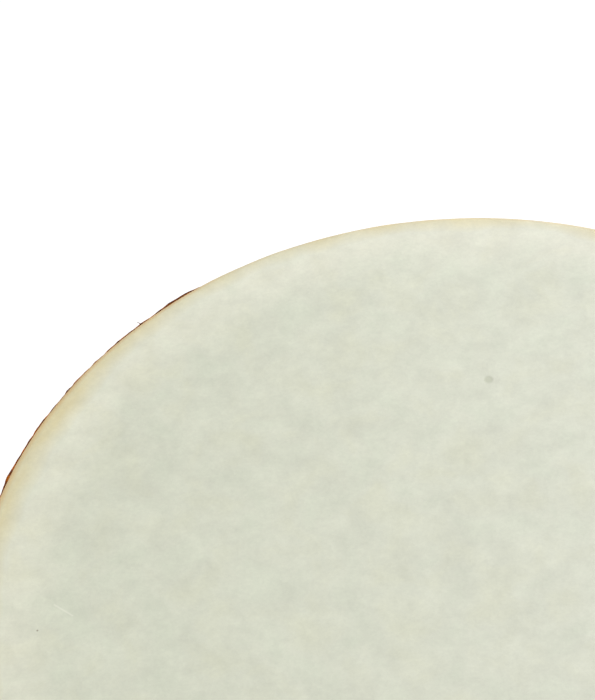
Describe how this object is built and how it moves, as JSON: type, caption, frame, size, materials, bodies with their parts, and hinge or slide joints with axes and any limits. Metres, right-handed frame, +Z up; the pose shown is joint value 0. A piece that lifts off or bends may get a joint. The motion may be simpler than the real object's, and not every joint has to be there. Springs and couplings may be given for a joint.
{
  "type": "tube drum",
  "caption": "Floor-standing hand drum: a cloth-covered tube on short rubber-shod legs between arches, with a pre-tuned synthetic head on top and an air port in its base.",
  "frame": {"origin": "on the floor at the drum's axis, level with the undersides of the rubber shoes", "axes": "+Z up along the drum's axis to the head, +Y towards the back leg, -Y towards the front arch, +X to the right"},
  "size_m": [0.3592, 0.3581, 0.635],
  "materials": {
    "head_film": "satin, slightly translucent, faintly cloudy",
    "woven_cloth": "matt woven cloth, dark brown and rust",
    "wood_fibre": "wound wood fibre, sealed, satin",
    "pale_wood": "bare pale wood, sanded",
    "plywood": "sealed plywood",
    "moulded_plastic": "fine-grained black moulding",
    "wound_card": "spiral-wound card",
    "foam": "closed-cell foam",
    "rubber": "moulded black rubber",
    "steel": "zinc-plated screws"
  },
  "bodies": {
    "root": {"drum_head": "head_film", "cloth_cover": "woven_cloth", "shell_tube": "wood_fibre", "bearing_ring": "pale_wood", "base_ring": "pale_wood", "base_gasket": "foam", "base_board": "plywood", "port_gasket": "foam", "port_flange": "moulded_plastic", "port_tube": "wound_card", "rubber_shoe_1": "rubber", "rubber_shoe_2": "rubber", "rubber_shoe_3": "rubber", "base_screw_1": "steel", "base_screw_2": "steel", "base_screw_3": "steel", "base_screw_4": "steel", "base_screw_5": "steel", "base_screw_6": "steel", "base_screw_7": "steel", "base_screw_8": "steel", "port_screw_1": "steel", "port_screw_2": "steel", "port_screw_3": "steel", "port_screw_4": "steel", "port_screw_5": "steel", "port_screw_6": "steel", "foot_screw_1": "steel", "foot_screw_2": "steel", "foot_screw_3": "steel", "foot_screw_4": "steel", "foot_screw_5": "steel", "foot_screw_6": "steel"}
  },
  "joints": []
}
